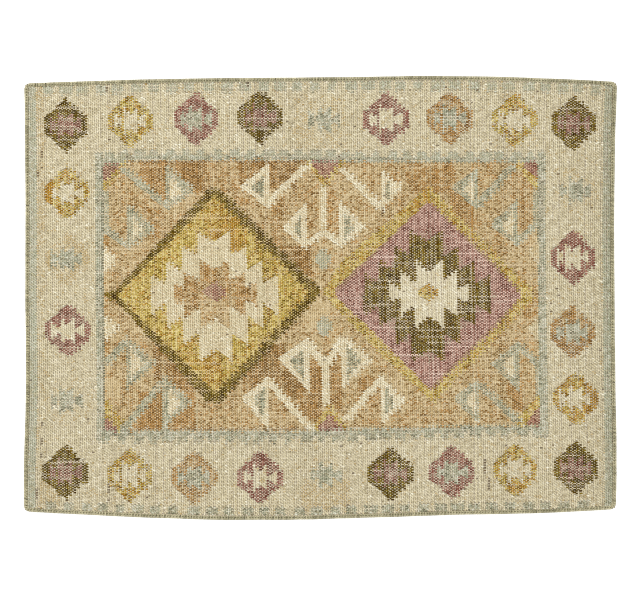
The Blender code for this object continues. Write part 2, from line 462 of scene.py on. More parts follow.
# The field, with patches where the weaver took up the darker caramel lot
edge_tooth = np.where(odd_pick, 0.9, -0.3)
field = (above_field < edge_tooth) & (below_field < edge_tooth) & box(104, 120, 538.5, 470)
weave(field, TAN, 0.20)
Patch = namedtuple("Patch", "left top right bottom share lighter", defaults=(0.0,))
CARAMEL_PATCHES = (
    Patch(140, 162, 165, 200, 0.80), Patch(165, 162, 205, 192, 0.90, -0.14),
    Patch(205, 162, 240, 192, 0.40), Patch(240, 162, 296, 190, 0.92, -0.14),
    Patch(253, 182, 266, 192, 0.05, 0.05), Patch(234, 186, 252, 204, 0.75),
    Patch(104, 232, 110, 252, 0.65), Patch(122, 192, 150, 212, 0.35), Patch(148, 208, 166, 240, 0.60),
    Patch(272, 188, 286, 246, 0.55), Patch(270, 246, 312, 275, 0.95, -0.16),
    Patch(300, 190, 318, 232, 0.35), Patch(104, 337, 110, 366, 0.60),
    Patch(108, 378, 121, 398, 0.02, 0.12), Patch(122, 350, 127, 395, 0.40),
    Patch(155, 344, 196, 400, 0.90, -0.20), Patch(138, 392, 165, 429, 0.95),
    Patch(165, 392, 197, 429, 0.92), Patch(197, 400, 300, 429, 0.28),
    Patch(243, 345, 283, 352, 0.94, -0.16), Patch(243, 352, 300, 392, 0.94, -0.16),
    Patch(283, 388, 300, 412, 0.85, -0.08), Patch(300, 360, 322, 418, 0.85, -0.06),
    Patch(306, 302, 330, 328, 0.05, 0.10), Patch(326, 198, 340, 236, 0.60),
    Patch(408, 162, 456, 192, 0.66), Patch(386, 162, 408, 205, 0.40), Patch(450, 190, 474, 230, 0.80),
    Patch(488, 226, 501, 254, 0.35), Patch(512, 160, 532, 232, 0.60), Patch(478, 164, 492, 178, 0.45),
    Patch(327, 350, 342, 410, 0.95, -0.14), Patch(358, 376, 380, 392, 0.70),
    Patch(362, 392, 380, 424, 0.50), Patch(396, 400, 456, 427, 0.30), Patch(506, 372, 522, 412, 0.80),
    Patch(474, 370, 492, 396, 0.55), Patch(520, 288, 539, 318, 0.55), Patch(482, 395, 512, 425, 0.20),
)
for patch in CARAMEL_PATCHES:
    here = box(*patch[:4]) & (chart == TAN)
    second_lot[here] = patch.share
    lift[here] = patch.lighter
weave(box(103, 190, 109.5, 232) & field, SAGE, 0.25)
weave(box(532.5, 190, 546, 227) & field, SAGE, 0.25)
weave(box(535.5, 362, 542, 404) & field, SAGE, 0.25)

# Quarter diamonds in the field's corners and half diamonds at its middle, each in a gold band
Corner = namedtuple("Corner", "px py band_out band_up inner_out inner_up")
CORNERS = (
    Corner(104, 164.5, 23, 28, 17, 16),
    Corner(538.5, 164, 25, 27, 17, 15),
    Corner(104, 430, 26, 32, 15, 13),
    Corner(541, 424.5, 29, 30, 15, 19),
    Corner(325, 161, 20, 27, 15.5, 17.5),
    Corner(329.5, 429, 18, 25, 12.5, 14.5),
)
for corner in CORNERS:
    weave(stepped(corner.px, corner.py, [(corner.band_out, corner.band_up, 0)]) & field, GOLD, 0.30)
    weave(stepped(corner.px, corner.py, [(corner.inner_out, corner.inner_up, 0)]) & field, MAUVE, 0.45)
# Small ivory half triangles at the field's two ends
for tip_px, py in ((118, 260), (119, 328)):
    weave(filled([(104, py - 12), (tip_px, py), (104, py + 13)]), IVORY, 0.10, 0.18)
weave(filled([(538.5, 318), (527, 329), (538.5, 340)]), IVORY, 0.30)
weave(filled([(538.5, 243), (527, 253), (538.5, 263)]), IVORY, 0.40)
weave(box(196, 390, 198.5, 429), IVORY, 0.45)

# Hooks: a triangle with a smaller one inside, and an arm that slants away from its end nearer the middle
Hook = namedtuple("Hook", "side top bottom tip tip_py arm_px arm_py dye")
HOOKS = (
    Hook(165, 165, 210, 195, 190, 124, 169, SAGE),
    Hook(127, 204, 250, 155, 229, 104, 228, SAGE),
    Hook(269, 164, 208, 240, 187, 306, 166, IVORY),
    Hook(306.5, 203, 249, 282, 228, 325, 231, IVORY),
    Hook(381, 171, 213, 402, 187, 342, 169, IVORY),
    Hook(339, 202, 248, 366, 227, 324, 231, IVORY),
    Hook(478, 168, 210, 452, 188, 514, 165, SAGE),
    Hook(518, 199, 246, 490, 226, 534, 226, SAGE),
    Hook(126, 337, 389, 155, 363, 106, 364, SAGE),
    Hook(163.5, 376, 427, 192, 402, 124, 429, SAGE),
    Hook(269, 376, 430, 242, 398, 312, 430, IVORY),
    Hook(309, 338, 391, 279, 359, 323, 364, IVORY),
    Hook(342.5, 334, 388, 372, 360, 327, 364, IVORY),
    Hook(380.5, 374, 425, 405, 401, 346, 420, IVORY),
    Hook(479.5, 379, 424, 453, 398, 517, 421, SAGE),
    Hook(519, 341, 390, 491, 364, 540, 366, SAGE),
)
# In pixels of the photograph, as the hooks are
MIDDLE_PY = 297
ARM_HALF_WIDTH = 4.4
ARM_OVERLAP = 4
INNER_SIDE = 5
INNER_TOP = 12
INNER_TIP = 12
INNER_BOTTOM = 10
for hook in HOOKS:
    out = 1 if hook.tip > hook.side else -1
    from_py = hook.bottom - ARM_OVERLAP if hook.top < MIDDLE_PY else hook.top + ARM_OVERLAP
    near_px = hook.side + out
    arm = [(near_px - ARM_HALF_WIDTH, from_py), (near_px + ARM_HALF_WIDTH, from_py)]
    arm += [(hook.arm_px + ARM_HALF_WIDTH, hook.arm_py), (hook.arm_px - ARM_HALF_WIDTH, hook.arm_py)]
    inside, lighter = (SAGE, 0.20) if hook.dye == IVORY else (IVORY, 0.0)
    weave(filled(arm) & field, hook.dye, 0.08, lighter)
    triangle = [(hook.side, hook.top), (hook.tip, hook.tip_py), (hook.side, hook.bottom)]
    weave(filled(triangle) & field, hook.dye, 0.08, lighter)
    inner_px = hook.side + INNER_SIDE * out
    inner = [(inner_px, hook.top + INNER_TOP), (hook.tip - INNER_TIP * out, hook.tip_py + 1)]
    inner += [(inner_px, hook.bottom - INNER_BOTTOM)]
    weave(filled(inner), inside, 0.12, 0.14 - lighter)
# Two upright stems between the hooks, and the thick side of one hook
weave(box(320, 187, 327, 231), IVORY, 0.08, 0.14)
weave(box(322.5, 357, 329.5, 404), IVORY, 0.08, 0.14)
weave(box(163, 377, 168.5, 430) & field, SAGE, 0.15)

# Two large banded diamonds with stepped stars in them, and two small sage diamonds between them
olive_tip = [(104, 294.5), (113, 289.5), (113, 300.5)]
weave(filled(olive_tip), OLIVE, 0.30, 0.20)
band_corners = [(111.5, 295.3), (208.5, 190), (220.5, 190), (321.7, 291), (221, 401.5), (208, 401.5)]
weave(filled(band_corners), OLIVE, 0.25)
gold_corners = [(118, 295.3), (215.3, 196.5), (309.2, 293), (215.7, 392)]
weave(filled(gold_corners), GOLD, 0.14)
change_lot(219, 200, 247, 252, GOLD, 0.85)
change_lot(247, 215, 262, 252, GOLD, 0.08)
change_lot(203, 200, 219, 240, GOLD, 0.45)
change_lot(200, 350, 222, 400, GOLD, 0.62)
change_lot(178, 335, 200, 380, GOLD, 0.32)
change_lot(290, 262, 312, 300, GOLD, 0.35)
band_corners = [(429, 186.5), (340, 264), (322.5, 293), (386, 359), (433, 401.5), (536, 296)]
weave(filled(band_corners), GOLD, 0.25)
change_lot(385, 180, 430, 215, GOLD, 0.60)
mauve_corners = [(428.5, 202), (333.5, 291.5), (431.5, 388.8), (490, 332.5), (521, 295), (490, 259.5)]
weave(filled(mauve_corners), MAUVE, 0.12)
GOLD_STAR_ABOVE = ((17.2, 53, 65.5), (33.3, 40.5, 50.3), (48.3, 25.5, 35), (63.5, 10.5, 20.7))
GOLD_STAR_BELOW = ((17.2, 51.5, 66), (33.3, 35, 50), (48.3, 19, 32), (63.5, 5.5, 18.5))
BROWN_STAR_ABOVE = ((14, 26, 33), (30.2, 14.5, 22), (41.5, 7, 12))
BROWN_STAR_BELOW = ((14, 21.5, 31.5), (30.2, 9.5, 19), (41.5, 2.5, 8.5))
weave(stepped(214.8, 296, GOLD_STAR_ABOVE, GOLD_STAR_BELOW), IVORY, 0.0, 0.05)
weave(stepped(215, 296, BROWN_STAR_ABOVE, BROWN_STAR_BELOW), TAN, 0.62)
change_lot(198, 300, 234, 330, TAN, 0.20)
weave(stepped(214.5, 292, [(12, 8.5, 0)]), MAUVE, 0.20, 0.05)
OLIVE_STAR_ABOVE = ((17.2, 53, 65.5), (32.5, 38.5, 50), (47.8, 24, 34), (63, 10.5, 20.5))
OLIVE_STAR_BELOW = ((17, 53.5, 65.5), (32.5, 36.5, 49.5), (48.5, 20, 31), (64, 7.5, 19))
IVORY_STAR_ABOVE = ((13.8, 22, 35.5), (28.8, 12.5, 24.5), (39.5, 5.5, 11.5))
IVORY_STAR_BELOW = ((14, 19, 32), (29, 9, 20.5), (38.5, 1.5, 6))
weave(stepped(427.3, 295.5, OLIVE_STAR_ABOVE, OLIVE_STAR_BELOW), OLIVE, 0.32)
weave(stepped(429, 295.5, IVORY_STAR_ABOVE, IVORY_STAR_BELOW), IVORY, 0.02, 0.10)
weave(stepped(427.5, 292, [(11, 8.5, 0)]), GOLD, 0.45)
weave(stepped(323, 259.5, [(8.5, 11.5, 0)]), SAGE, 0.08, 0.05)
weave(stepped(324, 326, [(9.5, 12, 0)]), SAGE, 0.08, 0.06)

# Small hexagon medallions along the border, each with a small stepped star in it
Medallion = namedtuple("Medallion", "px py ring inside ring_share star_size", defaults=(1.0,))
MEDALLIONS = (
    Medallion(65.8, 125.3, OLIVE, MAUVE, 0.25), Medallion(130.5, 121.5, GOLD, IVORY, 0.22),
    Medallion(196, 119.5, MAUVE, SAGE, 0.50), Medallion(260, 117, OLIVE, MAUVE, 0.25),
    Medallion(324, 120, IVORY, SAGE, 0.42), Medallion(386, 119.5, MAUVE, IVORY, 0.55),
    Medallion(449.5, 118.5, TAN, SAGE, 0.75), Medallion(514.3, 120.5, GOLD, IVORY, 0.30),
    Medallion(573.3, 123.5, OLIVE, MAUVE, 0.25), Medallion(67.5, 193, GOLD, IVORY, 0.38),
    Medallion(67, 259, IVORY, SAGE, 0.60), Medallion(68, 330.5, MAUVE, IVORY, 0.55),
    Medallion(67, 400.5, IVORY, SAGE, 0.18), Medallion(65.5, 472, OLIVE, MAUVE, 0.25),
    Medallion(575, 191, IVORY, SAGE, 0.20), Medallion(572.8, 257.5, MAUVE, IVORY, 0.75),
    Medallion(572, 332, TAN, SAGE, 0.60), Medallion(575.5, 398.5, GOLD, IVORY, 0.52),
    Medallion(575.5, 468, OLIVE, MAUVE, 0.25), Medallion(130, 475.3, GOLD, IVORY, 0.33),
    Medallion(194, 477, TAN, SAGE, 0.50), Medallion(260.2, 477.5, MAUVE, IVORY, 0.45, 1.1),
    Medallion(326, 475, IVORY, SAGE, 0.22), Medallion(390.5, 473.5, OLIVE, MAUVE, 0.25),
    Medallion(452, 472, MAUVE, SAGE, 0.50), Medallion(515, 470, GOLD, IVORY, 0.42),
)
HEXAGON = ((9.5, 26, 18.5), (22.4, 17, 6.2))
SMALL_STAR = ((7, 6, 12.8), (15.8, 0.4, 7))
STAR_LIGHTER = {IVORY: 0.08, SAGE: 0.0, MAUVE: -0.12}
for medallion in MEDALLIONS:
    weave(stepped(medallion.px, medallion.py, HEXAGON), medallion.ring, medallion.ring_share)
    lighter = STAR_LIGHTER[medallion.inside]
    star = [[medallion.star_size * value for value in block] for block in SMALL_STAR]
    weave(stepped(medallion.px, medallion.py, star), medallion.inside, 0.12, lighter)
change_lot(44, 178, 53, 206, GOLD, 0.95)
change_lot(585, 385, 600, 425, GOLD, 0.85)
change_lot(545, 331, 598, 362, TAN, 0.90)
lift[box(545, 331, 582, 362) & (chart == TAN)] = -0.12
change_lot(300, 478, 350, 512, IVORY, 0.55)
change_lot(295, 95, 345, 148, IVORY, 0.25)
change_lot(40, 478, 60, 508, IVORY, 0.50)


def stretches(count, shortest, longest, down_picks):
    """Random stretches along single picks or single warps, as a mask over the chart."""
    marked = np.zeros(GRID, bool)
    for _ in range(count):
        reach = luck.integers(shortest, longest)
        row, column = luck.integers(0, PICKS), luck.integers(0, WARPS)
        if down_picks:
            marked[row, column : column + reach] = True
        else:
            marked[row : row + reach, column] = True
    return marked


def soft_noise(cells_along, cells_across):
    """Smooth random values from 0 to 1 over the chart."""
    coarse = luck.random((cells_along + 1, cells_across + 1))
    rows = np.linspace(0, cells_along, PICKS)
    columns = np.linspace(0, cells_across, WARPS)
    wide = np.array([np.interp(columns, np.arange(cells_across + 1), line) for line in coarse])
    return np.array([np.interp(rows, np.arange(cells_along + 1), wide[:, c]) for c in range(WARPS)]).T


# How each float differs from its neighbours: its tone, its lot, and the odd dark fleck of bark. Ivory yarn
# and the lightened motifs are evener, and the second lot comes in clumps
EVENER = 0.48
PICK_SPREAD = 0.08
PICK_DRIFT = 0.16
FLOAT_SPREAD = 0.23
CLUMPING = 0.25
IVORY_FLECKS = 0.0022
ALL_FLECKS = 0.0007
unevenness = np.where((chart == IVORY) | (lift > 0), EVENER, 1)
pick_tone = luck.normal(0, PICK_SPREAD, (PICKS, 1))
pick_tone = pick_tone + PICK_DRIFT * (soft_noise(PICKS // 2, 9) - 0.5) * unevenness
tone = 0.5 + lift + (pick_tone + luck.normal(0, FLOAT_SPREAD, GRID)) * unevenness
share_here = np.clip(second_lot * (0.4 + 1.2 * soft_noise(PICKS // 2, 20)), 0, 1)
dealt = CLUMPING * soft_noise(PICKS // 2, 90) + (1 - CLUMPING) * luck.random(GRID)
dealt = (np.argsort(np.argsort(dealt.ravel())) / dealt.size).reshape(GRID)
lot = np.where(dealt < share_here, 0.8, 0.2 * share_here)
fleck = np.zeros(GRID)
fleck[(luck.random(GRID) < IVORY_FLECKS) & (chart == IVORY)] = 0.9
fleck[luck.random(GRID) < ALL_FLECKS] = 0.8
Fleck = namedtuple("Fleck", "px first_py last_py")
FLECKS = (
    Fleck(41, 150, 158), Fleck(39, 171, 177), Fleck(41, 166, 169), Fleck(40, 438, 444),
    Fleck(41, 452, 457), Fleck(43, 421, 426), Fleck(37, 488, 500), Fleck(486, 458, 474),
    Fleck(487, 478, 490), Fleck(110, 484, 493), Fleck(110, 498, 502), Fleck(250, 282, 289),
    Fleck(108, 86, 93), Fleck(246, 82, 88), Fleck(382, 207, 216),
)
for mark in FLECKS:
    fleck[box(mark.px - 2, mark.first_py, mark.px + 2, mark.last_py) & ~odd_pick] = 0.75
# Where single warps show through as thin pale lines, because the picks lie thin over them
BareWarp = namedtuple("BareWarp", "first_px last_px py")
BARE_WARPS = (
    BareWarp(55, 73, 119.5), BareWarp(45, 76, 126.5), BareWarp(48, 62, 133), BareWarp(58, 80, 140.5),
    BareWarp(237, 284, 118.5), BareWarp(262, 284, 110.5), BareWarp(245, 272, 129),
    BareWarp(435, 452, 104), BareWarp(552, 592, 123), BareWarp(560, 582, 109), BareWarp(182, 232, 218),
    BareWarp(250, 290, 221), BareWarp(280, 302, 202), BareWarp(232, 252, 208), BareWarp(290, 303, 258),
    BareWarp(158, 168, 345), BareWarp(190, 216, 371), BareWarp(187, 202, 381), BareWarp(372, 398, 257),
    BareWarp(366, 388, 287), BareWarp(398, 412, 316.5), BareWarp(415, 442, 330),
    BareWarp(416, 446, 337), BareWarp(456, 476, 309), BareWarp(440, 462, 328), BareWarp(460, 482, 341),
    BareWarp(520, 538, 305), BareWarp(270, 305, 417), BareWarp(348, 372, 366), BareWarp(560, 592, 467),
    BareWarp(566, 588, 483), BareWarp(48, 84, 463), BareWarp(372, 404, 470), BareWarp(240, 280, 471),
)

# The jute picks
# Each pick is a thick, softly spun jute yarn that passes over one warp and under the next, and its
# neighbour does the reverse. A yarn turns back where its dye ends, so each run of a dye is one closed yarn.
OVER_LEVEL = 0.0044
UNDER_LEVEL = 0.0012
FLOAT_HALF_WIDTH = 0.0036
DIP_HALF_WIDTH = 0.0019
YARN_HALF_THICKNESS = 0.0010
RUN_END = 0.38
EDGE_TUCK = 1.1
FIRST_WARP = 2
LAST_WARP = WARPS - 3
# How full a float is, as a share of its usual width
FULLNESS_SPREAD = 0.13
THIN_IVORY = 0.84
THIN_DYED = 0.74
FULL_OLIVE = 1.12
FULL_TURN = 1.25
GAPPY = 0.6
PLUMP = 1.25
BARE = 0.32
# How many floats differ in such ways, and how much lighter they are; the lighter tone of the turns is a
# painted highlight
TURN_SHARE = 0.8
TURN_HIGHLIGHT = 0.28
GAPPY_SHARE = 0.10
PLUMP_SHARE = 0.018
PLUMP_LIGHTER = 0.40
RING_SIDES = 4
RING_VALUES = ("pick", "warp", "level", "half_width", "half_thickness", "tone", "lot", "fleck")

over = (pick[:, None] + warp[None, :]) % 2 == 0
streaks = 0.25 * (soft_noise(PICKS, 24) - 0.5) * unevenness
fullness = 1 + (luck.normal(0, FULLNESS_SPREAD, GRID) + streaks) * unevenness
thin = stretches(900, 6, 40, True)
fullness *= np.where(thin, np.where(chart == IVORY, THIN_IVORY, THIN_DYED), 1)
fullness *= np.where(chart == OLIVE, FULL_OLIVE, 1)
fullness = fullness * (1 + 0.15 * lot * (chart != IVORY)) * (1 + 0.15 * lift)
# Where a yarn turns round its last warp it stands up, so the edges of a motif look beaded, and each turn gets
# a painted highlight, a lighter tone
edge = (chart != np.roll(chart, 1, axis=1)) | (chart != np.roll(chart, -1, axis=1))
turning = edge & odd_pick & over & (luck.random(GRID) < TURN_SHARE)
fullness *= np.where(turning, FULL_TURN, 1)
# Painted highlight on each raised turn
tone = tone + TURN_HIGHLIGHT * turning
# A tenth of the ivory floats are thin, which leaves small dark gaps. A few of any dye are plump and pale
gappy = (luck.random(GRID) < GAPPY_SHARE) & (chart == IVORY)
fullness *= np.where(gappy, GAPPY, 1)
plump = luck.random(GRID) < PLUMP_SHARE
fullness *= np.where(plump, PLUMP, 1)
tone = np.clip(tone + PLUMP_LIGHTER * plump, 0, 1)
bare_warp = stretches(420, 4, 22, False) & (chart != IVORY)
for line in BARE_WARPS:
    bare_warp |= box(line.first_px, line.py - 0.72, line.last_px, line.py + 0.72)
fullness *= np.where(bare_warp, BARE, 1)
swell = 1 + luck.normal(0, 0.05, GRID)
level = np.where(over, OVER_LEVEL + 0.0003 * (fullness - 1) + 0.0004 * turning, UNDER_LEVEL)
half_width = np.where(over, FLOAT_HALF_WIDTH, DIP_HALF_WIDTH) * np.clip(fullness, 0.3, 1.4)
half_thickness = YARN_HALF_THICKNESS * np.clip(swell, 0.8, 1.04)
sway = 0.0010 * (soft_noise(PICKS, 60) - 0.5) + luck.normal(0, 0.00035, GRID)
pick_shift = luck.normal(0, 0.00045, PICKS)


def runs_of(dye, picks):
    """The stretches of each pick that are of one dye, as (pick, first warp, last warp)."""
    found = []
    for row in picks:
        line = chart[row, FIRST_WARP : LAST_WARP + 1]
        starts = np.flatnonzero(np.diff(line, prepend=-1))
        ends = np.append(starts[1:], len(line)) - 1
        for start, end in zip(starts, ends):
            if line[start] == dye:
                found.append((row, start + FIRST_WARP, end + FIRST_WARP))
    return found


def yarn_rings(runs):
    """One ring of yarn at each crossing of every run, and a small one past each of its ends."""
    rings = {key: [] for key in RING_VALUES}
    firsts = []
    count = 0
    for row, start, end in runs:
        crossings = slice(start, end + 1)
        before = EDGE_TUCK if start == FIRST_WARP else RUN_END
        after = EDGE_TUCK if end == LAST_WARP else RUN_END
        places = np.concatenate(([start - before], np.arange(start, end + 1), [end + after]))
        firsts.append(count)
        count += len(places)
        rings["pick"].append(np.full(len(places), row))
        rings["warp"].append(places)
        for key, grid, ending in (
            ("level", level, WARP_LEVEL),
            ("half_width", half_width, DIP_HALF_WIDTH),
            ("half_thickness", half_thickness, YARN_HALF_THICKNESS * 0.6),
        ):
            rings[key].append(np.concatenate(([ending], grid[row, crossings], [ending])))
        for key, grid in (("tone", tone), ("lot", lot), ("fleck", fleck)):
            values = grid[row, crossings]
            rings[key].append(np.concatenate(([values[0]], values, [values[-1]])))
    return {key: np.concatenate(values) for key, values in rings.items()}, np.array(firsts)


def yarn_mesh(name, points, faces, values, plan):
    """A mesh of quads from arrays, with a value at each point and a flat plan of its faces for baking."""
    mesh = bpy.data.meshes.new(name)
    mesh.vertices.add(len(points))
    mesh.vertices.foreach_set("co", points.astype(np.float32).ravel())
    mesh.loops.add(faces.size)
    mesh.loops.foreach_set("vertex_index", faces.astype(np.int32).ravel())
    mesh.polygons.add(len(faces))
    mesh.polygons.foreach_set("loop_start", np.arange(0, faces.size, 4, dtype=np.int32))
    mesh.update(calc_edges=True)
    for key, column in values.items():
        attribute = mesh.attributes.new(key, "FLOAT", "POINT")
        attribute.data.foreach_set("value", column.astype(np.float32))
    if plan is not None:
        layer = mesh.uv_layers.new(name="OFBake")
        layer.data.foreach_set("uv", plan.astype(np.float32).ravel())
    mesh.shade_smooth()
    yarn = bpy.data.objects.new(name, mesh)
    bpy.context.scene.collection.objects.link(yarn)
    return yarn


def tube_faces(ring, next_ring):
    """Four sides from each ring of four points to its next one. A ring is its first point's number."""
    sides = []
    for corner in range(4):
        turn = (corner + 1) % 4
        sides.append(np.stack([ring + corner, next_ring + corner, next_ring + turn, ring + turn], axis=1))
    return sides


def plan_quads(left, right, low, high):
    """The corners of one oblong of the baking plan for each face."""
    return np.stack([left, low, left, high, right, high, right, low], axis=1).reshape(-1, 4, 2)


def make_wefts(name, dye, picks):
    """All the runs of one dye over some of the picks, as one piece of many closed yarns."""
    rings, firsts = yarn_rings(runs_of(dye, picks))
    count = len(rings["pick"])
    row = rings["pick"]
    ring_across = (rings["warp"] - (WARPS - 1) / 2) * WARP_PITCH
    ring_across = ring_across + np.interp(rings["warp"], warp, warp_shift)
    x, y = thread_place(pick_along[row] + pick_shift[row], ring_across)
    x = x + sway[row, np.clip(np.rint(rings["warp"]).astype(int), 0, WARPS - 1)]
    side = rings["half_width"]
    thick = rings["half_thickness"]
    points = np.empty((count, RING_SIDES, 3))
    points[:, :, 0] = x[:, None] + side[:, None] * np.array([-1, 0, 1, 0])
    points[:, :, 1] = y[:, None]
    points[:, :, 2] = rings["level"][:, None] + thick[:, None] * np.array([-0.1, 1.0, -0.1, -1.0])
    last = np.append(firsts[1:], count) - 1
    joins = np.ones(count, bool)
    joins[last] = False
    here = np.flatnonzero(joins)
    faces = tube_faces(here * RING_SIDES, (here + 1) * RING_SIDES)
    plans = []
    # Upper sides get most of the plan, because they are what shows
    strip = np.array([0.02, 0.40, 0.78, 0.87, 0.96])
    plan_u = (row - min(picks)) / (max(picks) - min(picks) + 1)
    plan_v = (rings["warp"] + 1) / (WARPS + 1)
    step_u = 1 / (max(picks) - min(picks) + 1)
    for quarter in range(RING_SIDES):
        left = plan_u[here] + strip[quarter] * step_u
        right = plan_u[here] + strip[quarter + 1] * step_u
        plans.append(plan_quads(left, right, plan_v[here], plan_v[here + 1]))
    for ring, order, way in ((firsts, (0, 1, 2, 3), 1), (last, (3, 2, 1, 0), -1)):
        faces.append(ring[:, None] * RING_SIDES + np.array(order))
        left = plan_u[ring] + strip[0] * step_u
        right = plan_u[ring] + strip[2] * step_u
        plans.append(plan_quads(left, right, plan_v[ring], plan_v[ring] + way * 0.3 / WARPS))
    values = {key: np.repeat(rings[key], RING_SIDES) for key in ("tone", "lot", "fleck")}
    return yarn_mesh(name, points.reshape(-1, 3), np.concatenate(faces), values, np.concatenate(plans))


def dyed_jute(name, shade, body, light, second_shade, second_light):
    """Softly spun, vat-dyed jute: matt and slightly hairy, uneven in tone, with two lots of its dye."""
    jute = new_material(name)
    tone_here = add_node(jute, "Attribute", attribute_name="tone").outputs["Fac"]
    lot_here = add_node(jute, "Attribute", attribute_name="lot").outputs["Fac"]
    fleck_here = add_node(jute, "Attribute", attribute_name="fleck").outputs["Fac"]
    where = add_node(jute, "TexCoord").outputs["Object"]
    # Fibres are 0.06 mm across, too fine to show, so they are drawn as streaks of about 0.8 mm
    drawn = add_node(jute, "Mapping", [("Vector", where)], Scale=(1250, 210, 1250))
    fibre = add_node(jute, "TexNoise", [("Vector", drawn.outputs[0])], Scale=1.0, Detail=3.0, Roughness=0.65)
    spread = add_node(jute, "Math", [(0, fibre.outputs["Fac"]), (1, 0.5)], operation="SUBTRACT")
    pulled = [(0, spread.outputs[0]), (1, 0.7), (2, tone_here)]
    uneven = add_node(jute, "Math", pulled, operation="MULTIPLY_ADD", use_clamp=True)
    dyes = []
    for dark, bright in ((shade, light), (second_shade, second_light)):
        dye = add_node(jute, "ValToRGB", [("Fac", uneven.outputs[0])])
        spread_colours(dye, (0.12, dark), (0.88, bright))
        dyes.append(dye)
    first_dye, second_dye = dyes
    first_dye.color_ramp.elements.new(0.5).color = linear(body)
    both = add_node(
        jute,
        "MixRGB",
        [("Fac", lot_here), ("Color1", first_dye.outputs["Color"]), ("Color2", second_dye.outputs["Color"])],
    )
    bark = add_node(
        jute, "MixRGB", [("Fac", fleck_here), ("Color1", both.outputs["Color"])], Color2=linear("#4E331C")
    )
    hairy = add_node(jute, "Bump", [("Height", fibre.outputs["Fac"])], Strength=0.6, Distance=0.0003)
    dress(jute, bark, hairy, 0.92, 0.08)
    return jute


ivory_jute = dyed_jute("ivory_jute", "#968864", "#E2D6B0", "#FFFAE2", "#AA8C50", "#E0C890")
sage_jute = dyed_jute("sage_dyed_jute", "#74745C", "#B3B598", "#E2E2CE", "#90886A", "#CCC49C")
tan_jute = dyed_jute("tan_dyed_jute", "#8E7242", "#D3BA87", "#EEDDB4", "#70480E", "#C68C38")
gold_jute = dyed_jute("gold_dyed_jute", "#705810", "#C8AE4C", "#F2E49C", "#7E5006", "#CC9220")
olive_jute = dyed_jute("olive_dyed_jute", "#4A3A10", "#68561C", "#98822F", "#3C280A", "#7E5C0C")
mauve_jute = dyed_jute("mauve_dyed_jute", "#6E4234", "#A07565", "#CCA593", "#6C362A", "#AC705E")

half_way = PICKS // 2
WEFTS = (
    ("ivory_wefts_left", IVORY, range(0, half_way), ivory_jute),
    ("ivory_wefts_right", IVORY, range(half_way, PICKS), ivory_jute),
    ("sage_wefts", SAGE, range(PICKS), sage_jute),
    ("tan_wefts", TAN, range(PICKS), tan_jute),
    ("gold_wefts", GOLD, range(PICKS), gold_jute),
    ("olive_wefts", OLIVE, range(PICKS), olive_jute),
    ("mauve_wefts", MAUVE, range(PICKS), mauve_jute),
)
for name, dye, picks, jute in WEFTS:
    yarns = make_wefts(name, dye, picks)
    yarns.data.materials.append(jute)
    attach(yarns, "root")

# The overcast edge
# A sage yarn is wound round the cloth's edge in about 1,270 close turns, all the way round, and pulled
# tight. It pierces the cloth 10 mm in, and it makes the firm rounded rim of the rug.
TURNS = 1270
TURN_STEPS = 9
CORNER_INSET = 0.0165
ROUND_MIDDLE = 0.00565
ROUND_REACH = 0.00485
ROUND_LEVEL = 0.0035
ROUND_HEIGHT = 0.0027
ROUND_SQUARENESS = 0.7
OVERCAST_HALF_WIDTH = 0.0025
OVERCAST_HALF_THICKNESS = 0.0006


def edge_route(shares):
    """Points round the rug at shares of the way, 16.5 mm in from its edge, and the way outwards there."""
    half_length = LENGTH / 2 - CORNER_INSET
    half_width = WIDTH / 2 - CORNER_INSET
    quarter_turn = math.pi / 2 * (CORNER_INSET - ROUND_MIDDLE)
    sides = np.array([2 * half_length, quarter_turn, 2 * half_width, quarter_turn] * 2)
    starts = np.concatenate(([0], np.cumsum(sides)))
    gone = np.mod(shares, 1) * starts[-1]
    leg = np.clip(np.searchsorted(starts, gone, side="right") - 1, 0, 7)
    part = (gone - starts[leg]) / sides[leg]
    corner_x = np.array([-1, 1, 1, 1, 1, -1, -1, -1, -1]) * half_length
    corner_y = np.array([-1, -1, -1, 1, 1, 1, 1, -1, -1]) * half_width
    middle_x = corner_x[leg] + (corner_x[leg + 1] - corner_x[leg]) * part
    middle_y = corner_y[leg] + (corner_y[leg + 1] - corner_y[leg]) * part
    turn = math.pi / 2 * (leg // 2 - 1 + np.where(leg % 2, part, 0))
    return middle_x, middle_y, np.cos(turn), np.sin(turn)


def at_edge(shares, inset):
    """Where points at shares of the way round and that far inside the edge lie on the floor."""
    middle_x, middle_y, out_x, out_y = edge_route(shares)
    reach = CORNER_INSET - inset
    return lying_place(middle_x + out_x * reach, middle_y + out_y * reach)


def powered(value):
    return np.sign(value) * np.abs(value) ** ROUND_SQUARENESS


ring_count = TURNS * TURN_STEPS
ring = np.arange(ring_count)
wind = 2 * math.pi * (ring % TURN_STEPS) / TURN_STEPS
shares = ring / ring_count
turn_index = ring // TURN_STEPS
loose = np.interp(np.arange(TURNS) / 8, np.arange(TURNS // 8 + 2), luck.uniform(-1, 1, TURNS // 8 + 2))
tightness = (1 + luck.normal(0, 0.04, TURNS) + 0.05 * loose)[turn_index]
spacing = luck.normal(0, 0.10, TURNS)[turn_index] / TURNS
inset = ROUND_MIDDLE - ROUND_REACH * powered(np.cos(wind)) + 0.0003 * loose[turn_index]
height = ROUND_LEVEL + ROUND_HEIGHT * powered(np.sin(wind)) * np.clip(tightness, 0.9, 1.0)
out_x, out_y = edge_route(shares + spacing)[2:]
x, y = at_edge(shares + spacing, inset)
ring_out = np.cos(wind)
ring_up = np.sin(wind)
points = np.empty((ring_count, 4, 3))
for corner, (outwards, sideways) in enumerate(((1, 0), (0, 1), (-1, 0), (0, -1))):
    away = outwards * OVERCAST_HALF_THICKNESS
    aside = sideways * OVERCAST_HALF_WIDTH * np.clip(tightness, 0.85, 1.15)
    points[:, corner, 0] = x + out_x * ring_out * away - out_y * aside
    points[:, corner, 1] = y + out_y * ring_out * away + out_x * aside
    points[:, corner, 2] = height + ring_up * away
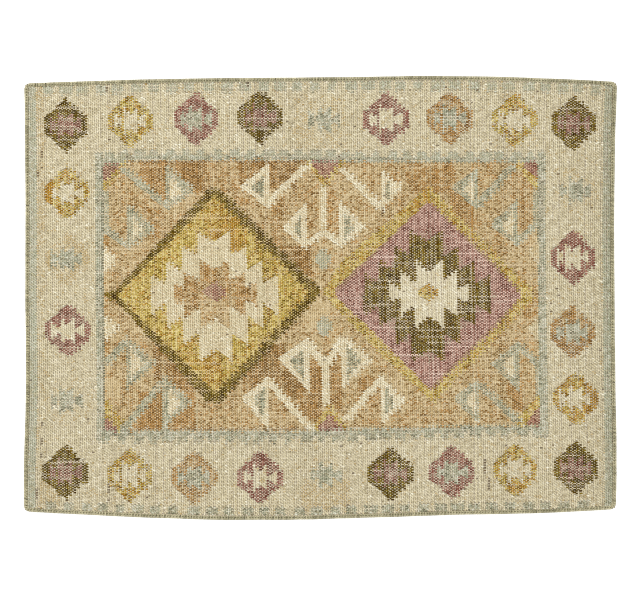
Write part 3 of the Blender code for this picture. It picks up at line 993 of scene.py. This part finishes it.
faces = tube_faces(ring * 4, (ring + 1) % ring_count * 4)
turn_tone = np.repeat(0.5 + luck.normal(0, 0.16, TURNS) + 0.15 * loose, TURN_STEPS)
values = {"tone": np.repeat(np.clip(turn_tone, 0, 1), 4)}
overcast = yarn_mesh("overcast_edge", points.reshape(-1, 3), np.concatenate(faces), values, None)

# Sage worsted-spun jute, wound tight: smoother than the cloth, a little lighter on its rounded outside
overcast_yarn = new_material("sage_overcast_jute")
tone_here = add_node(overcast_yarn, "Attribute", attribute_name="tone").outputs["Fac"]
place = add_node(overcast_yarn, "TexCoord").outputs["Object"]
fibre = add_node(overcast_yarn, "TexNoise", [("Vector", place)], Scale=700.0, Detail=3.0)
pulled = [(0, fibre.outputs["Fac"]), (1, 0.5), (2, tone_here)]
uneven = add_node(overcast_yarn, "Math", pulled, operation="MULTIPLY_ADD")
sage_colour = add_node(overcast_yarn, "ValToRGB", [("Fac", uneven.outputs[0])])
spread_colours(sage_colour, (0.45, "#989273"), (1.0, "#C4BC9A"))
fuzz = add_node(overcast_yarn, "Bump", [("Height", fibre.outputs["Fac"])], Strength=0.5, Distance=0.0003)
dress(overcast_yarn, sage_colour, fuzz, 0.9, 0.25)
overcast_yarn.node_tree.nodes["Principled BSDF"].inputs["Sheen Weight"].default_value = 0.15
overcast.data.materials.append(overcast_yarn)
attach(overcast, "root")
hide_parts("binding")

# The row of stitches inside the rim
# A darker olive thread is sewn through rim and cloth in short slanting stitches, one each 8 mm, and it
# shows on both faces. Each stitch is a small closed yarn that dives into the cloth at both its ends.
STITCHES = 700
STITCH_INSET = 0.0072
STITCH_SLANT = 0.0012
STITCH_LENGTH = 0.0066
STITCH_HALF_WIDTH = 0.0009
STITCH_LEVEL = 0.0067
STITCH_UNDER_LEVEL = 0.0009
StitchRing = namedtuple("StitchRing", "part drop size")
STITCH_RINGS = (
    StitchRing(-0.50, -0.0016, 0.35),
    StitchRing(-0.28, 0.0, 1.0),
    StitchRing(0.28, 0.0, 1.0),
    StitchRing(0.50, -0.0016, 0.35),
)
stitch = np.arange(STITCHES)
stitch_share = (stitch + 0.5 + luck.normal(0, 0.06, STITCHES)) / STITCHES
perimeter = 2 * (LENGTH + WIDTH)
out_x, out_y = edge_route(stitch_share)[2:]
points = []
for face_up, face_level in ((1, STITCH_LEVEL), (-1, STITCH_UNDER_LEVEL)):
    for part, drop, size in STITCH_RINGS:
        shift = stitch_share + part * STITCH_LENGTH / perimeter
        x, y = at_edge(shift, STITCH_INSET + part * 2 * STITCH_SLANT)
        for outwards, up in ((1, 0), (0, 1), (-1, 0), (0, -1)):
            corner_x = x + out_x * outwards * STITCH_HALF_WIDTH * size
            corner_y = y + out_y * outwards * STITCH_HALF_WIDTH * size
            level_here = face_level + face_up * (drop + up * STITCH_HALF_WIDTH * size)
            points.append(np.stack([corner_x, corner_y, np.broadcast_to(level_here, x.shape)], axis=1))
points = np.stack(points, axis=1).reshape(STITCHES * 2, len(STITCH_RINGS), 4, 3)
first = np.arange(STITCHES * 2) * len(STITCH_RINGS) * 4
faces = []
for step in range(len(STITCH_RINGS) - 1):
    for corner in range(4):
        turn = (corner + 1) % 4
        low, high = step * 4, step * 4 + 4
        corners = (low + corner, low + turn, high + turn, high + corner)
        faces.append(np.stack([first + place for place in corners], 1))
end = (len(STITCH_RINGS) - 1) * 4
faces.append(np.stack([first + 3, first + 2, first + 1, first], 1))
faces.append(np.stack([first + end, first + end + 1, first + end + 2, first + end + 3], 1))
faces = np.concatenate(faces)
tones = {"tone": np.repeat(luck.random(STITCHES * 2), len(STITCH_RINGS) * 4)}
stitches = yarn_mesh("edge_stitches", points.reshape(-1, 3), faces, tones, None)
closed = bmesh.new()
closed.from_mesh(stitches.data)
bmesh.ops.recalc_face_normals(closed, faces=closed.faces[:])
closed.to_mesh(stitches.data)
closed.free()

# Waxed olive sewing thread: dark, with a faint shine on its top
sewing_thread = new_material("waxed_olive_thread")
tone_here = add_node(sewing_thread, "Attribute", attribute_name="tone").outputs["Fac"]
place = add_node(sewing_thread, "TexCoord").outputs["Object"]
ply = add_node(sewing_thread, "TexNoise", [("Vector", place)], Scale=900.0, Detail=2.0)
thread_tone = add_node(
    sewing_thread, "Math", [(0, tone_here), (1, ply.outputs["Fac"])], operation="MULTIPLY"
)
thread_colour = add_node(sewing_thread, "ValToRGB", [("Fac", thread_tone.outputs[0])])
spread_colours(thread_colour, (0.0, "#5A5433"), (0.7, "#857E55"))
thread_bump = add_node(sewing_thread, "Bump", [("Height", ply.outputs["Fac"])], Strength=0.4, Distance=0.0002)
dress(sewing_thread, thread_colour, thread_bump, 0.6)
stitches.data.materials.append(sewing_thread)
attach(stitches, "root")
